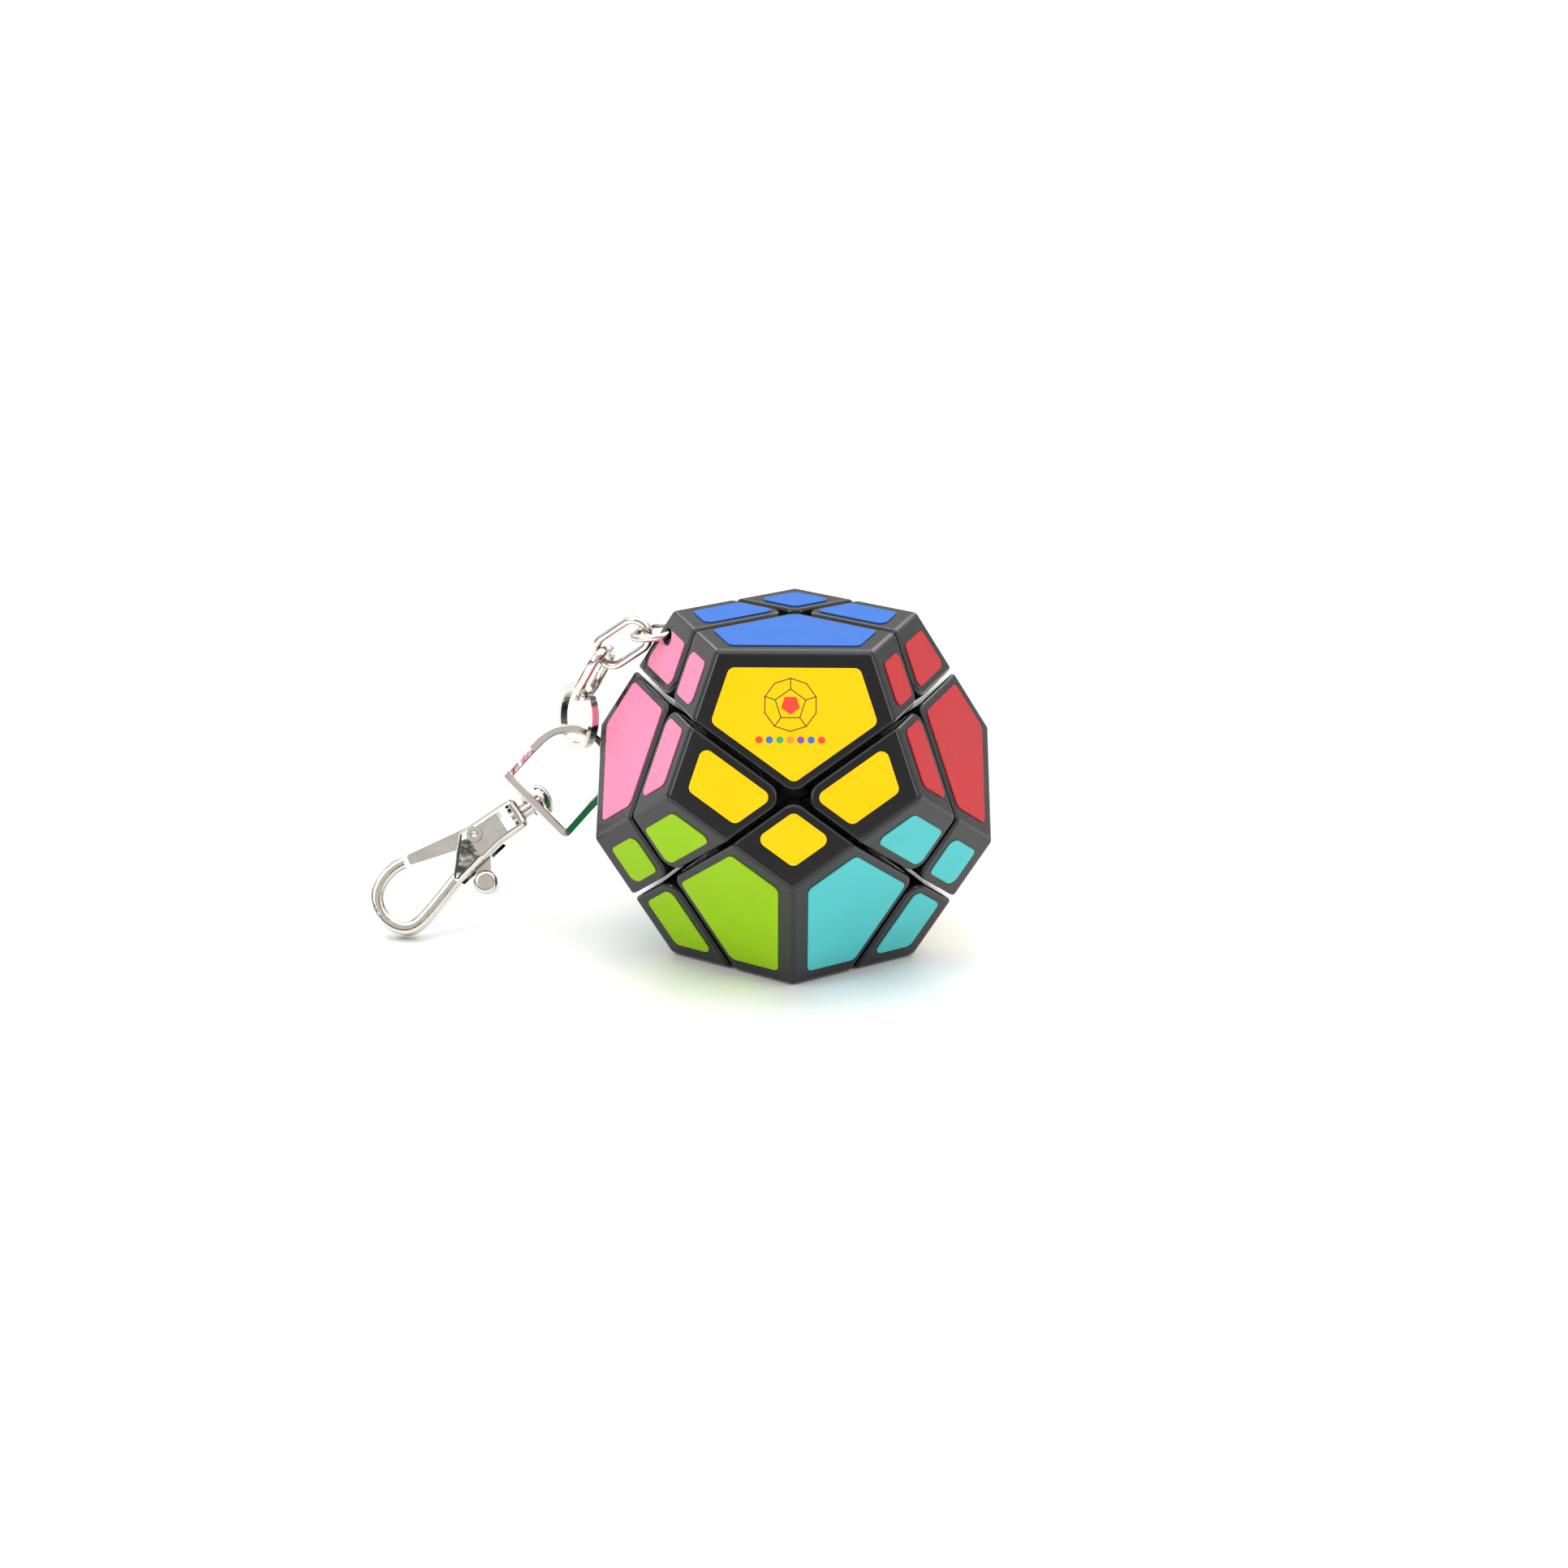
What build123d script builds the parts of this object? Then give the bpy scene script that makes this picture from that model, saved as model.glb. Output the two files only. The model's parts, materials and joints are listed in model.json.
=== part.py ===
from build123d import *
import os
from math import cos, radians, sin, sqrt, tan

# Dodecahedron twisty puzzle on a key chain. Millimetres, +Z up.
# The puzzle stands on one face. The origin is the centre of that face, +X is its right-hand side
# and +Y points to its back.

os.makedirs("parts", exist_ok=True)

# ---------------------------------------------------------------------------------------------
# Driving dimensions
# ---------------------------------------------------------------------------------------------
EDGE = 18.0                 # edge of the dodecahedron
STICKER_THICKNESS = 0.12
STICKER_CORNER = 0.9
RIM_AT_EDGE = 2.0           # bare plastic beside an edge of the dodecahedron
RIM_AT_CUT = 1.1            # bare plastic beside a cut
HALF_GAP = 0.25             # half of the gap between neighbouring pieces
EDGE_ROUNDING = 0.9
CUT_ROUNDING = 0.45
TIP_ROUNDING = 1.9          # rounding of the piece tips where two cuts cross
WALL = 1.3                  # wall of the hollow caps

CORE_CAVITY = 8.5           # radius of the hollow around the core
FOOT_RADIUS = 12.0          # outer radius of the feet
SEAM_RADIUS = 13.8          # where a cap sits on its foot
FOOT_CLEARANCE = 0.15
FOOT_REACH = 6.0            # degrees by which a foot reaches under its neighbour
PLUG_HEIGHT = 1.2
PLUG_CLEARANCE = 0.05

CORE_BALL = 4.5
BOSS_RADIUS = 2.0
BOSS_END = 8.0
SCREW_RADIUS = 0.8
SCREW_BORE = 0.88
SCREW_TIP = 3.2
SCREW_HEAD = 1.9
SCREW_HEAD_HEIGHT = 1.1
SEAT = 12.3                 # seat of the washer, from the puzzle's centre
WELL_RADIUS = 2.3
WELL_WALL = 0.8
WELL_TOP = 15.4
WASHER_THICKNESS = 0.4
WASHER_RADIUS = 2.1
SEAT_PLAY = 0.06
SPRING_RADIUS = 1.55
SPRING_WIRE = 0.18
SPRING_LENGTH = 3.0
SPRING_PITCH = 0.75

TUNNEL_FROM_VERTEX = 2.0    # along the edge of the dodecahedron
TUNNEL_DEPTH = 1.5          # below that edge
TUNNEL_RADIUS = 0.75

JUMP_WIRE = 0.9             # first link, through the tunnel
JUMP_WIDTH = 6.5            # between wire centres, along the tunnel
JUMP_LENGTH = 4.6
JUMP_CORNER = 1.6
JUMP_LEAN = 40.0            # degrees from straight out of the edge, down along the edge
LINK_LENGTH = 8.4           # outside, of the second and third link
LINK_WIDTH = 4.8
LINK_WIRE = 1.0
LINK_DEPTH = 1.2
SECOND_LEAN = 68.0
FIRST_HOLD = 1.15           # between the wire centres of the first and the second link
LINK_HOLD = 1.5             # between the wire centres of the second and the third link
RING_RADIUS = 3.8           # split ring, to the middle of the strip
RING_STRIP = 0.85
RING_COIL = 0.45
RING_PITCH = 0.48
RING_TURNS = 1.9
RING_HOLD = 1.5             # between the third link's wire and the ring's strip
RING_HOLD_ANGLE = 11.8      # where the ring sits on the D-ring, from its lowest point

BOW_WIDTH = 10.9            # D-ring, outside
BOW_STRIP = 1.0
BOW_SIDE = 6.1              # straight part of its sides
BOW_NARROW = 2.2            # width of the strip at the arch
BOW_WIDE = 5.2              # width of the strip at the base
BOW_HOLE = 1.25
BOW_HOLD_ANGLE = 24.5       # where the split ring sits on the arch, from its top
BOW_HOLD_RADIUS = 3.0       # split ring's strip, from the centre of the arch

STUD_RADIUS = 0.9
STUD_BORE = 0.96
STUD_HEAD = 2.0
STUD_HEAD_HEIGHT = 1.25
STUD_PLAY_TOP = 0.75        # under the stud's head
STUD_PLAY_BOTTOM = 1.0      # between the D-ring and the clasp
STUD_TAIL = 1.25            # riveted end inside the clasp's window
STUD_TAIL_LENGTH = 0.5
STUD_OVERLAP = 0.05
CLASP_HALF_DEPTH = 2.2
CLASP_TOP_WALL = 0.9
WINDOW_LENGTH = 1.7
WINDOW_HALF_WIDTH = 1.35
SLOT_HALF = 1.0             # slot for the lever, half of its width
SLOT_START = 4.0
SLOT_END = 10.8
PIVOT_AT = (6.2, -0.6)
PIVOT_RADIUS = 0.5
PIVOT_BORE = 0.56
PIVOT_HEAD = 0.95
LEVER_HALF_DEPTH = 0.85
HUB_RADIUS = 1.5
LUG_AT = (8.3, 4.8)         # thumb piece at the end of the lever's arm
LUG_RADIUS = 1.5
LUG_HALF_DEPTH = 1.4
LUG_ROUNDING = 0.6
HOOK_HALF_WIRE = 0.8        # half of the hook's thickness in its own plane
HOOK_HALF_DEPTH = 1.35
HOOK_ROUNDING = 0.6
BLOCK_ROUNDING = 0.7
RIVET_STANDS_OUT = 0.25
RIVET_DIMPLE = 0.55
GATE_SPRING_RADIUS = 0.85
GATE_SPRING_WIRE = 0.18
GATE_SPRING_PITCH = 0.24
GATE_SPRING_HEIGHT = 0.36
GATE_SPRING_START = 0.42

# Outlines of the clasp's parts in its own frame: X to the hook, Y to the thumb side.
BLOCK_OUTLINE = ((0, -2.0), (7.6, -2.0), (9.0, -0.5), (11.5, 2.3), (11.5, 3.4), (4.0, 2.1), (0, 2.0))
BLOCK_TAPER_START = 7.0
BLOCK_TAPER_END = 12.0
HOOK_PATH = (
    (9.6, 2.1),
    (12.6, 2.95),
    (16.2, 4.05),
    (19.2, 4.2),
    (20.9, 1.9),
    (20.3, -1.2),
    (17.9, -2.7),
    (15.3, -2.75),
)
GATE_OUTLINE = ((6.2, -2.05), (14.7, -3.35), (14.9, -2.1), (6.6, 0.3))
ARM_OUTLINE = ((4.9, 0.4), (7.0, -0.9), (9.2, 4.4), (7.6, 5.0))
LEVER_CORNER = 0.3
POCKET_RADIUS = 1.15        # pocket for the torsion spring
POCKET_DEPTH = 0.6

THROUGH = 20.0              # length of a cut that goes right through a small part
TOUCH = 1e-3

# ---------------------------------------------------------------------------------------------
# Dodecahedron in the frame of its inscribed cube
# ---------------------------------------------------------------------------------------------
PHI = (1 + sqrt(5)) / 2
INRADIUS = EDGE * PHI * PHI / (2 * sqrt(3 - PHI))
CENTRE_HEIGHT = INRADIUS + STICKER_THICKNESS
CUBE_HALF = EDGE * PHI / 2

CUT_AXES = [Vector(1, 1, 1), Vector(1, -1, -1), Vector(-1, 1, -1), Vector(-1, -1, 1)]
CUT_AXES = [axis.normalized() for axis in CUT_AXES]

FACE_NORMALS = {
    "blue": Vector(-1, 0, PHI),
    "yellow": Vector(1, 0, PHI),
    "pink": Vector(0, -PHI, 1),
    "red": Vector(0, PHI, 1),
    "green": Vector(PHI, -1, 0),
    "cyan": Vector(PHI, 1, 0),
    "white": Vector(-PHI, -1, 0),
    "orange": Vector(-PHI, 1, 0),
    "purple": Vector(-1, 0, -PHI),
    "grey": Vector(1, 0, -PHI),
    "dark_green": Vector(0, -PHI, -1),
    "cream": Vector(0, PHI, -1),
}
FACE_NORMALS = {name: normal.normalized() for name, normal in FACE_NORMALS.items()}

TO_WORLD = Plane(
    origin=(0, 0, CENTRE_HEIGHT),
    x_dir=Vector(0, -PHI, -1).normalized(),
    z_dir=Vector(0, -1, PHI).normalized(),
).location

# Rotations that carry the cuts onto themselves.
STAY = Location((0, 0, 0))
HALF_X = Location((0, 0, 0), (1, 0, 0), 180)
HALF_Y = Location((0, 0, 0), (0, 1, 0), 180)
HALF_Z = Location((0, 0, 0), (0, 0, 1), 180)
THIRD = Plane(origin=(0, 0, 0), x_dir=(0, 1, 0), z_dir=(1, 0, 0)).location

# Name, kind, the signs of its four sides and the rotation that places it.
PIECES = [
    ("corner_front_right", "screwed", (1, -1, -1, -1), STAY),
    ("corner_bottom_left", "screwed", (-1, 1, -1, -1), HALF_X),
    ("corner_back_right", "screwed", (-1, -1, 1, -1), HALF_Y),
    ("corner_top_left", "screwed", (-1, -1, -1, 1), HALF_Z),
    ("corner_back_left", "free", (-1, 1, 1, 1), STAY),
    ("corner_top_right", "free", (1, -1, 1, 1), HALF_X),
    ("corner_front_left", "free", (1, 1, -1, 1), HALF_Y),
    ("corner_bottom_right", "free", (1, 1, 1, -1), HALF_Z),
    ("centre_top", "centre", (1, -1, -1, 1), STAY),
    ("centre_bottom", "centre", (-1, 1, 1, -1), HALF_X),
    ("centre_front", "centre", (1, 1, -1, -1), THIRD),
    ("centre_back", "centre", (-1, -1, 1, 1), THIRD * HALF_X),
    ("centre_right", "centre", (1, -1, 1, -1), THIRD * THIRD),
    ("centre_left", "centre", (-1, 1, -1, 1), THIRD * THIRD * HALF_X),
]


def write(name, shape):
    export_step(shape, f"parts/{name}.step")


def one_solid(shape):
    """The largest solid of a shape, without slivers."""
    return max(shape.solids(), key=lambda solid: solid.volume)


def ball(radius):
    return Sphere(radius)


def keep_side(shape, axis, side, margin):
    """The part of a shape that lies on one side of a cut, a margin away from it."""
    plane = Plane(origin=axis * (side * margin), z_dir=axis)
    keep = Keep.TOP if side > 0 else Keep.BOTTOM
    return split(shape, bisect_by=plane, keep=keep)


def dodecahedron(inradius):
    body = Box(4 * inradius, 4 * inradius, 4 * inradius)
    for normal in FACE_NORMALS.values():
        body = split(body, bisect_by=Plane(origin=normal * inradius, z_dir=normal), keep=Keep.BOTTOM)
    return body


def wedge(signs, inradius, margin):
    """The dodecahedron's share of one piece, with sharp edges."""
    body = dodecahedron(inradius)
    for axis, side in zip(CUT_AXES, signs):
        body = keep_side(body, axis, side, margin)
    return one_solid(body)


def on_cut(point, signs, margin):
    """How many of the piece's cut planes a point lies on."""
    count = 0
    for axis, side in zip(CUT_AXES, signs):
        if abs(axis.dot(point) - side * margin) < 1e-4:
            count += 1
    return count


def on_face(point, inradius):
    """How many faces of the dodecahedron a point lies on."""
    count = 0
    for normal in FACE_NORMALS.values():
        if abs(normal.dot(point) - inradius) < 1e-4:
            count += 1
    return count


def rounded_wedge(signs):
    """One piece's outer body with its tips, outer edges and cut edges rounded."""
    body = wedge(signs, INRADIUS, HALF_GAP)
    tips = [edge for edge in body.edges() if on_cut(edge @ 0.5, signs, HALF_GAP) == 2]
    body = one_solid(fillet(tips, TIP_ROUNDING))
    outer = [edge for edge in body.edges() if on_face(edge @ 0.5, INRADIUS) == 2]
    body = one_solid(fillet(outer, EDGE_ROUNDING))
    border = []
    for edge in body.edges():
        if on_cut(edge @ 0.5, signs, HALF_GAP) == 1 and on_face(edge @ 0.5, INRADIUS) == 1:
            border.append(edge)
    return one_solid(fillet(border, CUT_ROUNDING))


def cone_side(shape, axis, side, margin):
    """The part of a foot on one side of the conical cut about an axis."""
    slope = radians(90 - FOOT_REACH)
    height = FOOT_RADIUS + 2
    apex = axis * (side * margin / sin(slope))
    cone = Cone(0, height * tan(slope), height, align=(Align.CENTER, Align.CENTER, Align.MIN))
    cone = Plane(origin=apex, z_dir=-axis) * cone
    return shape - cone if side > 0 else shape & cone


def foot_region(signs, inner, outer):
    body = ball(outer) - ball(inner)
    for axis, side in zip(CUT_AXES, signs):
        body = cone_side(body, axis, side, FOOT_CLEARANCE)
    return one_solid(body)


def cap_and_foot(signs, kind):
    """The hollow cap and the foot of one piece, in the cube's frame."""
    outer = rounded_wedge(signs)
    hollow = wedge(signs, INRADIUS - WALL, HALF_GAP + WALL)
    cap = one_solid(outer - hollow - ball(SEAM_RADIUS))

    floor = outer & (ball(SEAM_RADIUS) - ball(FOOT_RADIUS + FOOT_CLEARANCE))
    plug = wedge(signs, INRADIUS - WALL, HALF_GAP + WALL + PLUG_CLEARANCE)
    plug = plug & (ball(SEAM_RADIUS + PLUG_HEIGHT) - ball(SEAM_RADIUS - 1))
    foot = foot_region(signs, CORE_CAVITY, FOOT_RADIUS)
    neck = foot_region(signs, FOOT_RADIUS - 1, FOOT_RADIUS + 1) & outer
    foot = foot + neck + floor + plug
    if kind == "screwed":
        axis = CUT_AXES[signs.index(1)]
        foot = foot + post(axis, SEAT, WELL_TOP, WELL_RADIUS + WELL_WALL)
        foot = foot - post(axis, SEAT, WELL_TOP + 1, WELL_RADIUS)
        foot = foot - post(axis, CORE_CAVITY - 1, SEAT + 1, SCREW_BORE)
    return cap, one_solid(foot)


def post(axis, start, end, radius):
    """A cylinder along an axis through the centre, from one radius to another."""
    body = Cylinder(radius, end - start, align=(Align.CENTER, Align.CENTER, Align.MIN))
    return Plane(origin=axis * start, z_dir=axis) * body


# ---------------------------------------------------------------------------------------------
# Stickers
# ---------------------------------------------------------------------------------------------
def clip(points, a, b, limit):
    """The part of a polygon where a x + b y is at most the limit."""
    kept = []
    for index, (x1, y1) in enumerate(points):
        x2, y2 = points[(index + 1) % len(points)]
        d1 = a * x1 + b * y1 - limit
        d2 = a * x2 + b * y2 - limit
        if d1 <= 0:
            kept.append((x1, y1))
        if d1 * d2 < 0:
            share = d1 / (d1 - d2)
            kept.append((x1 + share * (x2 - x1), y1 + share * (y2 - y1)))
    return kept


def sticker_outline(plane, normal, signs):
    """The corners of one sticker on one face, in the face's plane."""
    points = [(-EDGE, -EDGE), (EDGE, -EDGE), (EDGE, EDGE), (-EDGE, EDGE)]
    borders = []
    for other in FACE_NORMALS.values():
        if 0.1 < other.dot(normal) < 0.9:
            borders.append((other, INRADIUS * (1 - other.dot(normal)), RIM_AT_EDGE, 0))
    for axis, side in zip(CUT_AXES, signs):
        borders.append((axis * -side, INRADIUS * side * axis.dot(normal), RIM_AT_CUT, HALF_GAP))
    for direction, limit, rim, gap in borders:
        a = direction.dot(plane.x_dir)
        b = direction.dot(plane.y_dir)
        length = sqrt(a * a + b * b)
        points = clip(points, a, b, limit - rim * length - gap)
        if len(points) < 3:
            return []
    return points


def sticker(normal, signs):
    """One sticker, or nothing where the piece has no share of the face."""
    plane = Plane(origin=normal * INRADIUS, z_dir=normal)
    points = sticker_outline(plane, normal, signs)
    if not points:
        return None
    outline = make_face(Polyline(*points, close=True))
    outline = fillet(outline.vertices(), STICKER_CORNER)
    return extrude(plane * outline, STICKER_THICKNESS, dir=normal)


# ---------------------------------------------------------------------------------------------
# Build the puzzle
# ---------------------------------------------------------------------------------------------
FIRST = {"screwed": (1, -1, -1, -1), "free": (-1, 1, 1, 1), "centre": (1, -1, -1, 1)}
patterns = {kind: cap_and_foot(signs, kind) for kind, signs in FIRST.items()}

# The tunnel crosses the edge between the pink and the white face, near the top left corner's tip.
tip = Vector(-CUBE_HALF, -CUBE_HALF, CUBE_HALF)
edge_direction = (Vector(-1 / PHI, -PHI, 0) - Vector(-1, -1, 1)).normalized()
edge_outward = (FACE_NORMALS["pink"] + FACE_NORMALS["white"]).normalized()
tunnel_direction = (FACE_NORMALS["pink"] - FACE_NORMALS["white"]).normalized()
tunnel_centre = tip + edge_direction * TUNNEL_FROM_VERTEX - edge_outward * TUNNEL_DEPTH
tunnel = Plane(origin=tunnel_centre, z_dir=tunnel_direction) * Cylinder(TUNNEL_RADIUS, EDGE)
tunnel_rim = Plane(origin=tunnel_centre, z_dir=tunnel_direction) * Cylinder(TUNNEL_RADIUS + 0.2, EDGE)

for name, kind, signs, turn in PIECES:
    cap, foot = patterns[kind]
    cap = turn * cap
    if name == "corner_top_left":
        cap = one_solid(cap - tunnel)
    write(name + "_cap", TO_WORLD * cap)
    write(name + "_foot", TO_WORLD * turn * foot)

for colour, normal in FACE_NORMALS.items():
    halves = {"turning": [], "fixed": []}
    for name, kind, signs, turn in PIECES:
        piece = sticker(normal, signs)
        if piece is None:
            continue
        if name == "corner_top_left" and colour in ("pink", "white"):
            piece = piece - tunnel_rim
        half = "turning" if signs[0] > 0 else "fixed"
        halves[half].append(TO_WORLD * one_solid(piece))
    for half, stickers in halves.items():
        if stickers:
            write(f"stickers_{colour}_{half}", Compound(children=stickers))

# ---------------------------------------------------------------------------------------------
# Core and fasteners
# ---------------------------------------------------------------------------------------------
def core():
    body = ball(CORE_BALL)
    for axis in CUT_AXES:
        body = body + post(axis, 0, BOSS_END, BOSS_RADIUS)
    for axis in CUT_AXES:
        body = body - post(axis, SCREW_TIP, BOSS_END + 1, SCREW_RADIUS)
    return one_solid(body)


def screw(axis):
    head_start = SEAT + SEAT_PLAY + WASHER_THICKNESS + SPRING_LENGTH
    head_end = head_start + SCREW_HEAD_HEIGHT
    body = post(axis, SCREW_TIP, head_start, SCREW_RADIUS)
    head = post(axis, head_start, head_end, SCREW_HEAD)
    recess = Plane(origin=axis * head_end, z_dir=axis)
    head = head - recess * Box(2.4, 0.5, 1.2) - recess * Box(0.5, 2.4, 1.2)
    return one_solid(body + head)


def washer(axis):
    start = SEAT + SEAT_PLAY
    ring = post(axis, start, start + WASHER_THICKNESS, WASHER_RADIUS)
    return one_solid(ring - post(axis, start - 1, start + 1, SCREW_BORE))


def spring(axis):
    """Compression spring, resting on the washer and under the screw's head."""
    length = SPRING_LENGTH - 2 * SPRING_WIRE - 0.02
    start = SEAT + SEAT_PLAY + WASHER_THICKNESS + SPRING_WIRE + 0.01
    path = Helix(SPRING_PITCH, length, SPRING_RADIUS)
    profile = Plane(origin=path @ 0, z_dir=path % 0) * Circle(SPRING_WIRE)
    coil = sweep(profile, path=path, is_frenet=True)
    return one_solid(Plane(origin=axis * start, z_dir=axis) * coil)


write("core", TO_WORLD * core())
write("screws", Compound(children=[TO_WORLD * screw(axis) for axis in CUT_AXES]))
write("washers", Compound(children=[TO_WORLD * washer(axis) for axis in CUT_AXES]))
write("springs", Compound(children=[TO_WORLD * spring(axis) for axis in CUT_AXES]))


# ---------------------------------------------------------------------------------------------
# Chain: three links and a split ring, draped over the puzzle's upper left edge
# ---------------------------------------------------------------------------------------------
def world_direction(vector):
    return (Plane(TO_WORLD).from_local_coords(vector) - Vector(0, 0, CENTRE_HEIGHT)).normalized()


def frame(origin, x_dir, near_y):
    """A frame at an origin with an exact X direction and a Y direction near another one."""
    y_dir = (near_y - x_dir * near_y.dot(x_dir)).normalized()
    return Plane(origin=origin, x_dir=x_dir, z_dir=x_dir.cross(y_dir))


def rounded_band(outer, inner, depth, rounding):
    """A flat closed band between two outlines, with rounded edges."""
    body = extrude(outer - inner, depth / 2, both=True)
    return one_solid(fillet(body.edges(), rounding))


def jump_link():
    outer = RectangleRounded(JUMP_LENGTH + JUMP_WIRE, JUMP_WIDTH + JUMP_WIRE, JUMP_CORNER + JUMP_WIRE / 2)
    inner = RectangleRounded(JUMP_LENGTH - JUMP_WIRE, JUMP_WIDTH - JUMP_WIRE, JUMP_CORNER - JUMP_WIRE / 2)
    body = rounded_band(outer, inner, JUMP_WIRE, JUMP_WIRE * 0.47)
    return Pos(JUMP_LENGTH / 2, 0, 0) * body


def oval_link():
    outer = SlotOverall(LINK_LENGTH, LINK_WIDTH)
    inner = SlotOverall(LINK_LENGTH - 2 * LINK_WIRE, LINK_WIDTH - 2 * LINK_WIRE)
    return rounded_band(outer, inner, LINK_DEPTH, LINK_WIRE * 0.46)


def split_ring():
    height = RING_PITCH * RING_TURNS
    path = Helix(RING_PITCH, height, RING_RADIUS)
    profile = Plane(origin=path @ 0, x_dir=(1, 0, 0), z_dir=path % 0) * Rectangle(RING_STRIP, RING_COIL)
    coil = sweep(profile, path=path, is_frenet=True)
    return one_solid(Pos(0, 0, -height / 2) * coil)


out_of_edge = world_direction(edge_outward)
along_edge = world_direction(edge_direction)
along_tunnel = world_direction(tunnel_direction)
tunnel_place = Plane(TO_WORLD).from_local_coords(tunnel_centre)


def leaning(angle):
    return out_of_edge * cos(radians(angle)) + along_edge * sin(radians(angle))


link_pitch = LINK_LENGTH - LINK_WIRE
first_way = leaning(JUMP_LEAN)
second_way = leaning(SECOND_LEAN)
third_way = Vector(-0.437, 0.196, -0.867).normalized()
third_side = Vector(-0.521, -0.852, 0.047)
ring_way = Vector(-0.160, 0.010, -0.987).normalized()
ring_side = Vector(0.496, -0.864, -0.089).normalized()

first_end = tunnel_place + first_way * JUMP_LENGTH
second_end = first_end + second_way * (link_pitch - FIRST_HOLD)
third_start = second_end - (second_way + third_way).normalized() * LINK_HOLD
third_end = third_start + third_way * link_pitch
ring_centre = third_end + ring_way * (RING_RADIUS - RING_HOLD)
ring_angle = radians(RING_HOLD_ANGLE)
ring_hold = ring_centre + (ring_way * cos(ring_angle) + ring_side * sin(ring_angle)) * RING_RADIUS

second_centre = second_end - second_way * (link_pitch / 2)
third_centre = third_end - third_way * (link_pitch / 2)
second_flat = second_way.cross(along_tunnel)

write("link_first", frame(tunnel_place, first_way, along_tunnel) * jump_link())
write("link_second", frame(second_centre, second_way, second_flat) * oval_link())
write("link_third", frame(third_centre, third_way, third_side) * oval_link())
write("split_ring", frame(ring_centre, ring_way, ring_side) * split_ring())


# ---------------------------------------------------------------------------------------------
# D-ring and swivel stud
# ---------------------------------------------------------------------------------------------
def d_ring():
    """The D-ring in its own frame: X along the base, Y to the arch, Z across the strip."""
    outer_radius = BOW_WIDTH / 2
    inner_radius = outer_radius - BOW_STRIP
    half = BOW_STRIP / 2
    outer = Pos(0, BOW_SIDE, 0) * Circle(outer_radius)
    outer = outer + Pos(0, (BOW_SIDE - half) / 2, 0) * Rectangle(BOW_WIDTH, BOW_SIDE + half)
    inner = Pos(0, BOW_SIDE, 0) * Circle(inner_radius)
    inner = inner + Pos(0, (BOW_SIDE + half) / 2, 0) * Rectangle(2 * inner_radius, BOW_SIDE - half)
    body = extrude(outer - inner, BOW_WIDE / 2, both=True)
    side_view = Polyline(
        (-half, -BOW_WIDE / 2),
        (half, -BOW_WIDE / 2),
        (BOW_SIDE * 0.75, -BOW_NARROW / 2),
        (BOW_SIDE + BOW_WIDTH, -BOW_NARROW / 2),
        (BOW_SIDE + BOW_WIDTH, BOW_NARROW / 2),
        (BOW_SIDE * 0.75, BOW_NARROW / 2),
        (half, BOW_WIDE / 2),
        (-half, BOW_WIDE / 2),
        close=True,
    )
    taper = extrude(Plane.YZ * make_face(side_view), BOW_WIDTH, both=True)
    body = one_solid(body & taper)
    below = [edge for edge in body.edges() if abs((edge @ 0.5).Y + half) < TOUCH]
    corners = [edge for edge in below if abs((edge @ 0.5).Z) < TOUCH]
    body = fillet(corners, BOW_STRIP * 0.8)
    body = one_solid(fillet(body.edges(), BOW_STRIP * 0.2))
    return body - Plane.XZ * Cylinder(BOW_HOLE, 4 * BOW_STRIP)


def stud():
    """The stud in the clasp's frame: it points along +X from its domed head."""
    head_start = -STUD_PLAY_BOTTOM - BOW_STRIP - STUD_PLAY_TOP
    dome = Sphere(STUD_HEAD) & Pos(0, 0, -STUD_HEAD) * Box(THROUGH, THROUGH, 2 * STUD_HEAD)
    dome = scale(dome, by=(1, 1, STUD_HEAD_HEIGHT / STUD_HEAD))
    shank_length = CLASP_TOP_WALL + STUD_OVERLAP - head_start
    shank = Cylinder(STUD_RADIUS, shank_length, align=(Align.CENTER, Align.CENTER, Align.MIN))
    tail = Cylinder(STUD_TAIL, STUD_TAIL_LENGTH, align=(Align.CENTER, Align.CENTER, Align.MIN))
    body = dome + shank + Pos(0, 0, shank_length) * tail
    return one_solid(Plane(origin=(head_start, 0, 0), z_dir=(1, 0, 0)) * body)


# ---------------------------------------------------------------------------------------------
# Clasp, in its own frame: X to the hook, Y to the thumb side, Z through its thickness
# ---------------------------------------------------------------------------------------------
def clasp_block():
    """The block at the top of the clasp, thinner towards the hook."""
    body = extrude(make_face(Polyline(*BLOCK_OUTLINE, close=True)), CLASP_HALF_DEPTH, both=True)
    side_view = Polyline(
        (0, -CLASP_HALF_DEPTH),
        (BLOCK_TAPER_START, -CLASP_HALF_DEPTH),
        (BLOCK_TAPER_END, -HOOK_HALF_DEPTH),
        (BLOCK_TAPER_END, HOOK_HALF_DEPTH),
        (BLOCK_TAPER_START, CLASP_HALF_DEPTH),
        (0, CLASP_HALF_DEPTH),
        close=True,
    )
    taper = extrude(Plane.XZ * make_face(side_view), BLOCK_TAPER_END, both=True)
    body = one_solid(body & taper)
    return one_solid(fillet(body.edges(), BLOCK_ROUNDING))


def hook():
    path = Spline(*HOOK_PATH)
    section = RectangleRounded(2 * HOOK_HALF_DEPTH, 2 * HOOK_HALF_WIRE, HOOK_ROUNDING)
    profile = Plane(origin=path @ 0, x_dir=(0, 0, 1), z_dir=path % 0) * section
    return sweep(profile, path=path)


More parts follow.
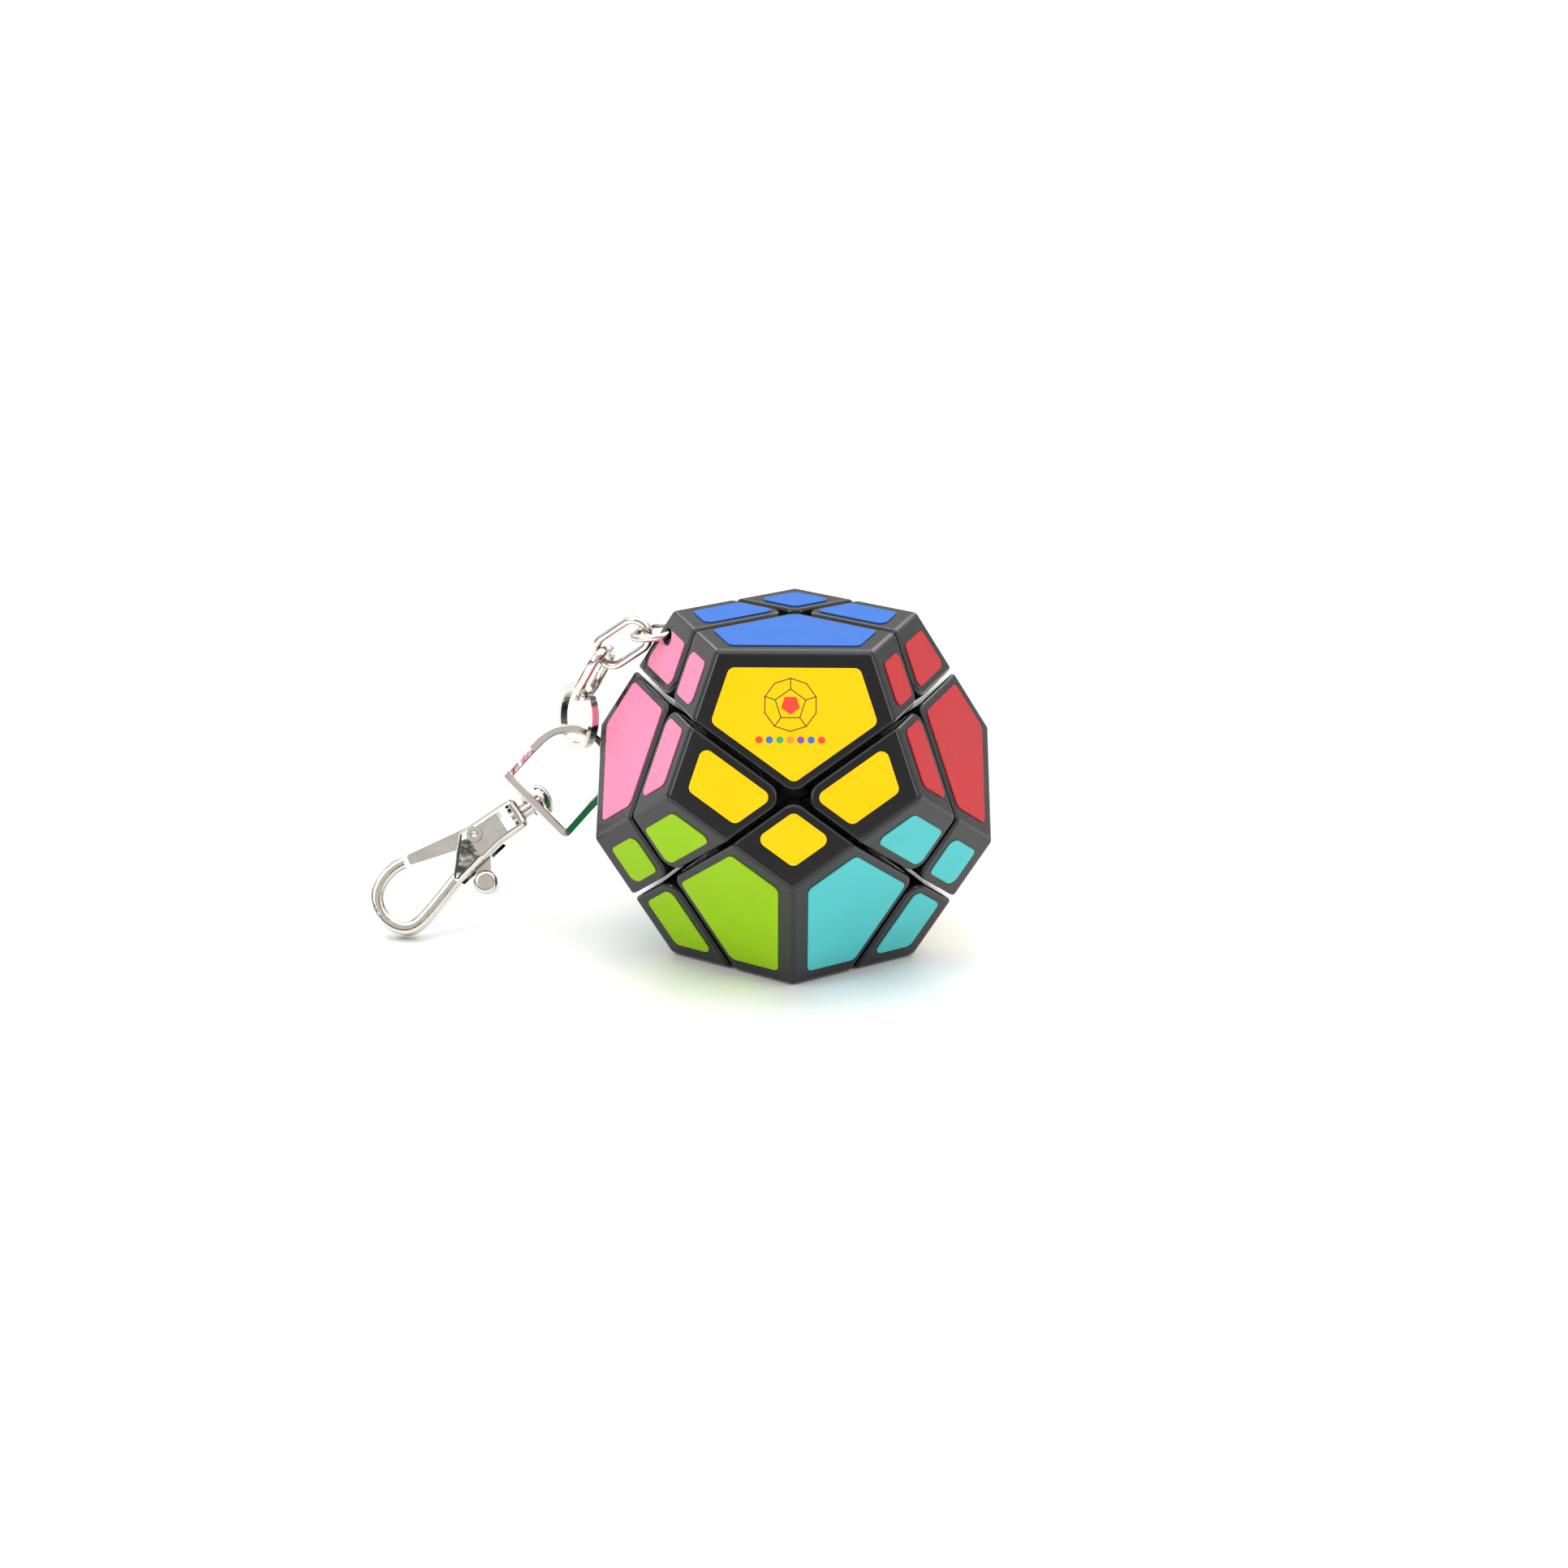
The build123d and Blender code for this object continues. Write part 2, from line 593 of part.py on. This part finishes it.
def clasp_body():
    body = clasp_block() + hook()
    window_centre = CLASP_TOP_WALL + WINDOW_LENGTH / 2
    body = body - Pos(window_centre, 0, 0) * Box(WINDOW_LENGTH, 2 * WINDOW_HALF_WIDTH, THROUGH)
    slot_centre = (SLOT_START + SLOT_END) / 2
    body = body - Pos(slot_centre, 0, 0) * Box(SLOT_END - SLOT_START, THROUGH, 2 * SLOT_HALF)
    body = body - Plane(origin=(-1, 0, 0), z_dir=(1, 0, 0)) * Cylinder(STUD_BORE, 5)
    return one_solid(body - pivot_place() * Cylinder(PIVOT_RADIUS, THROUGH))


def pivot_place():
    return Pos(PIVOT_AT[0], PIVOT_AT[1], 0)


def rounded_polygon(radius, *points):
    outline = make_face(Polyline(*points, close=True))
    return fillet(outline.vertices(), radius)


def lever():
    """Gate and thumb piece in one: it turns on the rivet and its lug sticks out of the slot."""
    hub = Pos(PIVOT_AT[0], PIVOT_AT[1], 0) * Circle(HUB_RADIUS)
    gate = rounded_polygon(LEVER_CORNER, *GATE_OUTLINE)
    arm = rounded_polygon(LEVER_CORNER, *ARM_OUTLINE)
    body = extrude(hub + gate + arm, LEVER_HALF_DEPTH, both=True)
    lug = Cylinder(LUG_RADIUS, 2 * LUG_HALF_DEPTH)
    body = body + Pos(LUG_AT[0], LUG_AT[1], 0) * fillet(lug.edges(), LUG_ROUNDING)
    pocket = Pos(PIVOT_AT[0], PIVOT_AT[1], LEVER_HALF_DEPTH) * Cylinder(POCKET_RADIUS, 2 * POCKET_DEPTH)
    return one_solid(body - pivot_place() * Cylinder(PIVOT_BORE, THROUGH) - pocket)


def rivet():
    half_length = CLASP_HALF_DEPTH + RIVET_STANDS_OUT
    shank = pivot_place() * Cylinder(PIVOT_RADIUS, 2 * half_length)
    head = Pos(PIVOT_AT[0], PIVOT_AT[1], 0) * Cylinder(PIVOT_HEAD, 2 * half_length)
    block = pivot_place() * Cylinder(PIVOT_HEAD + 1, 2 * CLASP_HALF_DEPTH)
    body = shank + (head - block)
    for side in (-1, 1):
        dimple_height = side * (half_length + RIVET_DIMPLE / 2)
        body = body - Pos(PIVOT_AT[0], PIVOT_AT[1], dimple_height) * Sphere(RIVET_DIMPLE)
    return one_solid(body)


def gate_spring():
    """Torsion spring around the rivet, beside the lever's hub."""
    path = Helix(GATE_SPRING_PITCH, GATE_SPRING_HEIGHT, GATE_SPRING_RADIUS)
    profile = Plane(origin=path @ 0, z_dir=path % 0) * Circle(GATE_SPRING_WIRE / 2)
    coil = sweep(profile, path=path, is_frenet=True)
    return one_solid(Pos(PIVOT_AT[0], PIVOT_AT[1], GATE_SPRING_START) * coil)


bow_up = Vector(0.684, 0.372, 0.627).normalized()
bow_base = Vector(0.695, -0.075, -0.715).normalized()
clasp_way = Vector(-0.829, -0.148, -0.540).normalized()
clasp_thumb = Vector(0.551, -0.409, -0.727)

hold = radians(BOW_HOLD_ANGLE)
hold_direction = bow_up * cos(hold) - bow_base * sin(hold)
arch_centre = ring_hold - hold_direction * BOW_HOLD_RADIUS
bow_place = arch_centre - bow_up * BOW_SIDE
clasp_place = bow_place + clasp_way * (BOW_STRIP / 2 + STUD_PLAY_BOTTOM)
clasp_frame = frame(clasp_place, clasp_way, clasp_thumb)

write("d_ring", frame(bow_place, bow_base, bow_up) * d_ring())
write("swivel_stud", clasp_frame * stud())
write("clasp_body", clasp_frame * clasp_body())
write("gate_lever", clasp_frame * lever())
write("lever_rivet", clasp_frame * rivet())
write("gate_spring", clasp_frame * gate_spring())
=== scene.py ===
import json
import math

import bmesh
import bpy
from mathutils import Matrix, Vector


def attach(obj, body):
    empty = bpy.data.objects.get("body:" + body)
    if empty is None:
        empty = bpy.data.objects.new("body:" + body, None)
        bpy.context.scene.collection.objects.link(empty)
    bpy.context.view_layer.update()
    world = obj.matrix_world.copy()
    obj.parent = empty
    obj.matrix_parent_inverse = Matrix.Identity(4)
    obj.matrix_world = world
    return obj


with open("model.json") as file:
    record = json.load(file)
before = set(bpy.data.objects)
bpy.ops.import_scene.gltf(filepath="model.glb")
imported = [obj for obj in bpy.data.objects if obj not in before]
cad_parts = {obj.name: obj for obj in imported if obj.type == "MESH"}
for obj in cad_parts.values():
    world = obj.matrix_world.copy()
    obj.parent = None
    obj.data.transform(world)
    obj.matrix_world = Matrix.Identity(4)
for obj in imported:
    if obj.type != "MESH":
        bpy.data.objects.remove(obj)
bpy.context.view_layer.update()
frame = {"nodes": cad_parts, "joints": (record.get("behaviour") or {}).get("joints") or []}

# Looks for the dodecahedron twisty puzzle. Metres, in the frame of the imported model.

MM = 0.001


# ---------------------------------------------------------------------------------------------
# Shader building
# ---------------------------------------------------------------------------------------------
class Graph:
    """A material's node tree, with short calls for the nodes used here."""

    def __init__(self, name):
        self.material = bpy.data.materials.new(name)
        self.material.use_nodes = True
        self.tree = self.material.node_tree
        self.shader = self.tree.nodes["Principled BSDF"]
        self.place = self.add("ShaderNodeTexCoord").outputs["Object"]

    def add(self, kind, links=None, **settings):
        node = self.tree.nodes.new(kind)
        for key, value in settings.items():
            setattr(node, key, value)
        for key, value in (links or {}).items():
            self.feed(node.inputs[key], value)
        return node

    def feed(self, socket, value):
        if isinstance(value, bpy.types.NodeSocket):
            self.tree.links.new(value, socket)
        else:
            socket.default_value = value

    def set(self, **values):
        for key, value in values.items():
            self.feed(self.shader.inputs[key.replace("_", " ")], value)

    def noise(self, size, detail=3.0, stretch=(1, 1, 1), turn=(0, 0, 0), shift=(0, 0, 0)):
        """Noise with features of about a size in metres, stretched and turned."""
        mapping = self.add(
            "ShaderNodeMapping",
            {"Vector": self.place, "Location": shift, "Rotation": turn, "Scale": stretch},
        )
        links = {"Vector": mapping.outputs[0], "Scale": 1 / size, "Detail": detail}
        return self.add("ShaderNodeTexNoise", links).outputs["Fac"]

    def ramp(self, factor, low, high, start=0.0, end=1.0):
        """A value mapped from low..high to start..end."""
        links = {"Value": factor, "From Min": low, "From Max": high, "To Min": start, "To Max": end}
        return self.add("ShaderNodeMapRange", links).outputs[0]

    def math(self, operation, a, b):
        return self.add("ShaderNodeMath", {0: a, 1: b}, operation=operation).outputs[0]

    def mix(self, factor, a, b):
        node = self.add("ShaderNodeMix", data_type="RGBA")
        for index, value in ((0, factor), (6, a), (7, b)):
            self.feed(node.inputs[index], value)
        return node.outputs[2]

    def bump(self, height, depth, strength=1.0, base=None):
        links = {"Height": height, "Distance": depth, "Strength": strength}
        if base is not None:
            links["Normal"] = base
        return self.add("ShaderNodeBump", links).outputs[0]

    def scratches(self, width, turns):
        """Thin hairlines in a few directions, 0 between them and 1 on them."""
        total = None
        for index, turn in enumerate(turns):
            lines = self.noise(width, 0.0, (1, 0.02, 0.02), turn, (index * 3.7, 0, 0))
            line = self.ramp(lines, 0.70, 0.76)
            total = line if total is None else self.math("MAXIMUM", total, line)
        return total

    def cavity(self, distance):
        """1 on open surfaces and less in narrow places; the materials use it to paint shade into narrow
        places.
        """
        node = self.add("ShaderNodeAmbientOcclusion", {"Distance": distance}, samples=6)
        return node.outputs["AO"]


def grey(value):
    return (value, value, value, 1)


# Directions of the hairlines, as rotations in radians.
SCRATCH_TURNS = [(0.3, 0.5, 0.9), (1.4, 0.2, -0.7), (-0.8, 1.1, 2.1)]


def black_plastic():
    """Glossy black, with faint smudges, a little dust, and painted shade that darkens the narrow places."""
    g = Graph("black_moulded_plastic")
    smudge = g.noise(9 * MM, 4.0)
    grain = g.noise(0.5 * MM, 2.0)
    dust = g.ramp(g.noise(0.16 * MM, 1.0, shift=(5, 1, 2)), 0.78, 0.82)
    crevice_shade = g.cavity(1.6 * MM)
    colour = g.mix(smudge, (0.0060, 0.0060, 0.0070, 1), (0.0120, 0.0120, 0.0135, 1))
    # Painted shade: the colour goes nearly black where the ambient occlusion finds narrow places.
    colour = g.mix(g.ramp(crevice_shade, 0.1, 0.7, 0.8, 0.0), colour, grey(0.001))
    colour = g.mix(g.math("MULTIPLY", dust, 0.2), colour, grey(0.10))
    roughness = g.math("ADD", g.ramp(smudge, 0.3, 0.7, 0.12, 0.19), g.math("MULTIPLY", dust, 0.1))
    normal = g.bump(grain, 0.002 * MM, 0.6)
    g.set(Base_Color=colour, Roughness=roughness, Normal=normal)
    g.shader.inputs["IOR"].default_value = 1.46
    return g.material


def inner_plastic():
    """Dark unpolished plastic, with flow marks."""
    g = Graph("inner_moulded_plastic")
    flow = g.noise(4 * MM, 3.0, (1, 1, 0.3))
    grain = g.noise(0.2 * MM, 2.0)
    colour = g.mix(flow, grey(0.012), grey(0.022))
    g.set(Base_Color=colour, Roughness=g.ramp(flow, 0.3, 0.7, 0.35, 0.5), Normal=g.bump(grain, 0.006 * MM))
    return g.material


def core_plastic():
    """Off-white nylon."""
    g = Graph("core_nylon")
    flow = g.noise(3 * MM, 3.0)
    grain = g.noise(0.25 * MM, 2.0)
    colour = g.mix(flow, (0.62, 0.60, 0.54, 1), (0.74, 0.72, 0.67, 1))
    g.set(Base_Color=colour, Roughness=g.ramp(flow, 0.3, 0.7, 0.4, 0.55), Normal=g.bump(grain, 0.008 * MM))
    return g.material


def vinyl(name, colour):
    """Thin coloured film: an even colour with a faint grain, smudges and hairlines."""
    g = Graph("vinyl_" + name)
    cloud = g.noise(6 * MM, 4.0)
    grain = g.noise(0.12 * MM, 2.0)
    hairs = g.scratches(0.08 * MM, SCRATCH_TURNS[:2])
    darker = tuple(c * 0.955 for c in colour[:3]) + (1,)
    lighter = tuple(min(1, c * 1.02 + 0.004) for c in colour[:3]) + (1,)
    shade = g.mix(g.ramp(cloud, 0.3, 0.7), darker, lighter)
    shade = g.mix(g.ramp(grain, 0.35, 0.65, 0.0, 0.07), shade, tuple(c * 0.8 for c in colour[:3]) + (1,))
    roughness = g.math("ADD", g.ramp(cloud, 0.3, 0.7, 0.38, 0.48), g.math("MULTIPLY", hairs, 0.06))
    normal = g.bump(grain, 0.0016 * MM)
    normal = g.bump(g.noise(2.2 * MM, 2.0), 0.012 * MM, 0.5, normal)
    g.set(Base_Color=shade, Roughness=roughness, Normal=normal)
    g.shader.inputs["Specular IOR Level"].default_value = 0.13
    return g.material


def plated(name, tint, low, high):
    """Nickel plating: bright, with soft tumbling marks, hairlines, and corners that are rougher and
    darkened by painted shade.
    """
    g = Graph(name)
    cloud = g.noise(2.4 * MM, 3.0)
    ripple = g.noise(1.5 * MM, 1.5, shift=(3, 2, 1))
    hairs = g.scratches(0.06 * MM, SCRATCH_TURNS)
    open_places = g.cavity(0.9 * MM)
    dull_and_shade = g.ramp(open_places, 0.15, 0.75, 1.0, 0.0)
    colour = g.mix(g.ramp(cloud, 0.3, 0.7, 0.0, 1.0), tuple(c * 0.93 for c in tint) + (1,), tint + (1,))
    # Painted shade: in corners and narrow places the colour turns dark brown; these places are also made
    # rougher.
    colour = g.mix(g.math("MULTIPLY", dull_and_shade, 0.7), colour, (0.20, 0.17, 0.13, 1))
    roughness = g.ramp(cloud, 0.3, 0.7, low, high)
    roughness = g.math("ADD", roughness, g.math("MULTIPLY", hairs, 0.10))
    roughness = g.math("ADD", roughness, g.math("MULTIPLY", dull_and_shade, 0.12))
    normal = g.bump(ripple, 0.10 * MM, 0.8)
    normal = g.bump(hairs, 0.0012 * MM, 0.6, normal)
    g.set(Base_Color=colour, Roughness=roughness, Normal=normal)
    g.shader.inputs["Metallic"].default_value = 1.0
    return g.material


def printed(name, colour):
    """Screen-printed ink on the vinyl."""
    g = Graph("print_" + name)
    grain = g.noise(0.10 * MM, 2.0)
    shade = g.mix(g.ramp(grain, 0.3, 0.7, 0.0, 0.25), colour + (1,), tuple(c * 0.85 for c in colour) + (1,))
    g.set(Base_Color=shade, Roughness=g.ramp(grain, 0.3, 0.7, 0.40, 0.5), Normal=g.bump(grain, 0.002 * MM))
    return g.material


VINYL = {
    "blue": (0.012, 0.130, 0.53),
    "yellow": (0.95, 0.545, 0.0),
    "pink": (0.92, 0.248, 0.42),
    "red": (0.49, 0.022, 0.028),
    "green": (0.300, 0.56, 0.001),
    "cyan": (0.088, 0.53, 0.54),
    "white": (0.70, 0.70, 0.685),
    "orange": (0.90, 0.24, 0.015),
    "purple": (0.18, 0.05, 0.38),
    "grey": (0.25, 0.26, 0.27),
    "dark_green": (0.008, 0.20, 0.07),
    "cream": (0.80, 0.71, 0.42),
}

plastic = black_plastic()
inner = inner_plastic()
nickel = plated("nickel_plating", (0.70, 0.665, 0.62), 0.05, 0.12)
steel = plated("zinc_plated_steel", (0.66, 0.66, 0.64), 0.18, 0.30)
films = {name: vinyl(name, colour) for name, colour in VINYL.items()}
LOOKS = {"core": core_plastic(), "screws": steel, "washers": steel, "springs": steel, "gate_spring": steel}


def look_of(node):
    if node.endswith("_cap"):
        return plastic
    if node.endswith("_foot"):
        return inner
    if node.startswith("stickers_"):
        return films[node[len("stickers_"):].rsplit("_", 1)[0]]
    return LOOKS.get(node, nickel)


for node, thing in frame["nodes"].items():
    thing.data.materials.clear()
    thing.data.materials.append(look_of(node))

# ---------------------------------------------------------------------------------------------
# Printed emblem on the large yellow sticker: a line drawing of a dodecahedron over coloured dots
# ---------------------------------------------------------------------------------------------
FACE_NORMAL = Vector((0, -2, 1)).normalized()
FACE_UP = Vector((0, 1, 2)).normalized()
FACE_RIGHT = Vector((1, 0, 0))
INK = 0.012 * MM
half_turn = next(joint for joint in frame["joints"] if joint["name"] == "half_turn")
CENTRE_HEIGHT = half_turn["pos_m"][2]    # the half-turn's axis runs through the puzzle's centre
FACE_CENTRE = Vector((0, 0, CENTRE_HEIGHT)) + FACE_NORMAL * CENTRE_HEIGHT


def on_face(x, y, lift):
    """A point on the yellow face, from millimetres right and up of its centre."""
    return FACE_CENTRE + FACE_RIGHT * x * MM + FACE_UP * y * MM + FACE_NORMAL * lift


def print_shape(name, outlines, material):
    """Thin slabs of ink, one for each outline."""
    bm = bmesh.new()
    for outline in outlines:
        top = [bm.verts.new(on_face(x, y, INK)) for x, y in outline]
        bottom = [bm.verts.new(on_face(x, y, 0)) for x, y in outline]
        bm.faces.new(top)
        bm.faces.new(bottom[::-1])
        for index in range(len(outline)):
            after = (index + 1) % len(outline)
            bm.faces.new((top[index], bottom[index], bottom[after], top[after]))
    bmesh.ops.recalc_face_normals(bm, faces=bm.faces)
    mesh = bpy.data.meshes.new(name)
    bm.to_mesh(mesh)
    bm.free()
    piece = bpy.data.objects.new(name, mesh)
    bpy.context.scene.collection.objects.link(piece)
    mesh.materials.append(material)
    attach(piece, "turning_half")
    return piece


def line(start, end, width):
    """A straight stroke with cut ends, as an outline."""
    a, b = Vector(start), Vector(end)
    along = (b - a).normalized()
    side = Vector((-along.y, along.x)) * width / 2
    ends = along * width / 2
    corners = (a - ends - side, b + ends - side, b + ends + side, a - ends + side)
    return [tuple(corner) for corner in corners]


def ring_of_points(centre, radius, count, turn):
    points = []
    for index in range(count):
        angle = math.radians(turn + 360 * index / count)
        points.append((centre[0] + radius * math.cos(angle), centre[1] + radius * math.sin(angle)))
    return points


EMBLEM = (-0.45, 6.05)    # millimetres right and up of the face's centre
OUTER_RADIUS = 3.1
INNER_RADIUS = 1.85
HEART_RADIUS = 1.15
STROKE = 0.11
outer_ring = ring_of_points(EMBLEM, OUTER_RADIUS, 10, 90)
inner_ring = ring_of_points(EMBLEM, INNER_RADIUS, 5, 90)
strokes = [line(outer_ring[i], outer_ring[(i + 1) % 10], STROKE) for i in range(10)]
strokes += [line(inner_ring[i], inner_ring[(i + 1) % 5], STROKE) for i in range(5)]
strokes += [line(inner_ring[i], outer_ring[2 * i], STROKE) for i in range(5)]
print_shape("emblem_lines", strokes, printed("black", (0.02, 0.02, 0.02)))
heart = ring_of_points(EMBLEM, HEART_RADIUS, 5, -90)
print_shape("emblem_heart", [heart], printed("red", (0.82, 0.05, 0.02)))

# For each colour of dot, its ink and its places in the row.
DOTS = {
    "dot_red": ((0.78, 0.05, 0.03), (0, 6)),
    "dot_blue": ((0.03, 0.14, 0.55), (1, 5)),
    "dot_green": ((0.04, 0.36, 0.10), (2,)),
    "dot_orange": ((0.90, 0.25, 0.02), (3,)),
    "dot_purple": ((0.22, 0.06, 0.36), (4,)),
}
DOT_ROW = (-4.05, 1.95)
DOT_STEP = 1.2
DOT_RADIUS = 0.42
DOT_CORNERS = 24
for name, (colour, places) in DOTS.items():
    centres = [(DOT_ROW[0] + DOT_STEP * place, DOT_ROW[1]) for place in places]
    outlines = [ring_of_points(centre, DOT_RADIUS, DOT_CORNERS, 0) for centre in centres]
    print_shape("emblem_" + name, outlines, printed(name, colour))

# ---------------------------------------------------------------------------------------------
# Floor, light and camera
# ---------------------------------------------------------------------------------------------
FLOOR_HALF = 4.0


def floor():
    bm = bmesh.new()
    corners = ((-1, -1), (1, -1), (1, 1), (-1, 1))
    bm.faces.new([bm.verts.new((x * FLOOR_HALF, y * FLOOR_HALF, 0)) for x, y in corners])
    mesh = bpy.data.meshes.new("floor")
    bm.to_mesh(mesh)
    bm.free()
    plane = bpy.data.objects.new("floor", mesh)
    bpy.context.scene.collection.objects.link(plane)
    g = Graph("floor_paper")
    cloud = g.noise(60 * MM, 3.0)
    g.set(Base_Color=g.mix(cloud, grey(0.93), grey(0.95)), Roughness=g.ramp(cloud, 0.3, 0.7, 0.55, 0.65))
    mesh.materials.append(g.material)


AIM = Vector((0, 0, 0.02))    # the middle of the puzzle


def softbox(name, at, size, power):
    """A rectangular lamp that faces the puzzle."""
    data = bpy.data.lights.new(name, "AREA")
    data.shape = "RECTANGLE"
    data.size, data.size_y = size
    data.energy = power
    lamp = bpy.data.objects.new(name, data)
    bpy.context.scene.collection.objects.link(lamp)
    lamp.location = at
    lamp.rotation_euler = (AIM - Vector(at)).to_track_quat("-Z", "Y").to_euler()


# Bands of the tent: place on the slope from 0 below to 1 above, and brightness.
TENT = (
    (0.00, 0.10),
    (0.16, 0.16),
    (0.24, 0.90),
    (0.31, 0.85),
    (0.35, 0.12),
    (0.43, 0.10),
    (0.48, 0.80),
    (0.62, 0.95),
    (0.68, 0.42),
    (0.76, 0.50),
    (0.82, 1.00),
)
TENT_STRENGTH = 1.08
TENT_SLOPE = (0.16, 0.12, 0.45)         # the bands follow each other in this direction
TENT_MIDDLE = 0.5
FRONT_FROM, FRONT_TO = -0.80, -0.45     # the tent is darker at the front, between these Y directions
FRONT_STRENGTH = 0.75


def studio():
    """A tent with dark and bright bands, so that the metal and the glossy rims show contrast."""
    world = bpy.data.worlds.new("studio")
    bpy.context.scene.world = world
    world.use_nodes = True
    tree = world.node_tree
    place = tree.nodes.new("ShaderNodeTexCoord").outputs["Generated"]
    slope = tree.nodes.new("ShaderNodeVectorMath")
    slope.operation = "DOT_PRODUCT"
    tree.links.new(place, slope.inputs[0])
    slope.inputs[1].default_value = TENT_SLOPE
    lift = tree.nodes.new("ShaderNodeMath")
    lift.operation = "ADD"
    tree.links.new(slope.outputs["Value"], lift.inputs[0])
    lift.inputs[1].default_value = TENT_MIDDLE
    ramp = tree.nodes.new("ShaderNodeValToRGB")
    stops = ramp.color_ramp.elements
    stops[0].position, stops[0].color = TENT[0][0], (TENT[0][1],) * 3 + (1,)
    stops[1].position, stops[1].color = TENT[-1][0], (TENT[-1][1],) * 3 + (1,)
    for position, value in TENT[1:-1]:
        stops.new(position).color = (value, value * 0.985, value * 0.96, 1)
    tree.links.new(lift.outputs[0], ramp.inputs[0])
    split = tree.nodes.new("ShaderNodeSeparateXYZ")
    tree.links.new(place, split.inputs[0])
    front = tree.nodes.new("ShaderNodeMapRange")
    tree.links.new(split.outputs["Y"], front.inputs["Value"])
    front.inputs["From Min"].default_value = FRONT_FROM
    front.inputs["From Max"].default_value = FRONT_TO
    front.inputs["To Min"].default_value = FRONT_STRENGTH
    front.inputs["To Max"].default_value = 1.0
    shade = tree.nodes.new("ShaderNodeVectorMath")
    shade.operation = "SCALE"
    tree.links.new(ramp.outputs[0], shade.inputs[0])
    tree.links.new(front.outputs[0], shade.inputs["Scale"])
    background = tree.nodes["Background"]
    background.inputs["Strength"].default_value = TENT_STRENGTH
    tree.links.new(shade.outputs[0], background.inputs["Color"])


CAMERA_AT = Vector((0.2023, -482.970, 177.006)) * MM
CAMERA_FORWARD = Vector((-0.00274, 0.95102, -0.30913))
CAMERA_RIGHT = Vector((0.99998, 0.00458, 0.00523))
CAMERA_LENS = 97.43
CAMERA_SENSOR = 36
NEAREST, FARTHEST = 0.01, 20


def camera():
    data = bpy.data.cameras.new("camera")
    eye = bpy.data.objects.new("camera", data)
    bpy.context.scene.collection.objects.link(eye)
    forward = CAMERA_FORWARD.normalized()
    right = (CAMERA_RIGHT - forward * CAMERA_RIGHT.dot(forward)).normalized()
    up = right.cross(forward)
    rotation = Matrix((right, up, -forward)).transposed()
    eye.matrix_world = Matrix.Translation(CAMERA_AT) @ rotation.to_4x4()
    data.sensor_width = CAMERA_SENSOR
    data.lens = CAMERA_LENS
    data.clip_start = NEAREST
    data.clip_end = FARTHEST
    bpy.context.scene.camera = eye


SUN_STRENGTH = 1.05
SUN_WIDTH = 110          # degrees
SUN_LEAN = (-12, -6)     # degrees about X and Y


def daylight():
    """Even light from above, so that the floor is as bright far away as near the puzzle."""
    data = bpy.data.lights.new("daylight", "SUN")
    data.energy = SUN_STRENGTH
    data.angle = math.radians(SUN_WIDTH)
    lamp = bpy.data.objects.new("daylight", data)
    bpy.context.scene.collection.objects.link(lamp)
    lamp.rotation_euler = (math.radians(SUN_LEAN[0]), math.radians(SUN_LEAN[1]), 0)


# Place, size and watts of each lamp.
SOFTBOXES = {
    "top_softbox": ((-0.05, 0.05, 0.62), (0.55, 0.45), 0.9),
    "left_softbox": ((-0.37, -0.33, 0.35), (0.16, 0.36), 0.80),
    "right_softbox": ((0.38, -0.31, 0.35), (0.14, 0.36), 0.55),
    "back_strip": ((0.0, 0.50, 0.30), (0.60, 0.06), 0.30),
}

floor()
studio()
daylight()
for name, (at, size, power) in SOFTBOXES.items():
    softbox(name, at, size, power)
camera()
bpy.context.scene.view_settings.view_transform = "Standard"
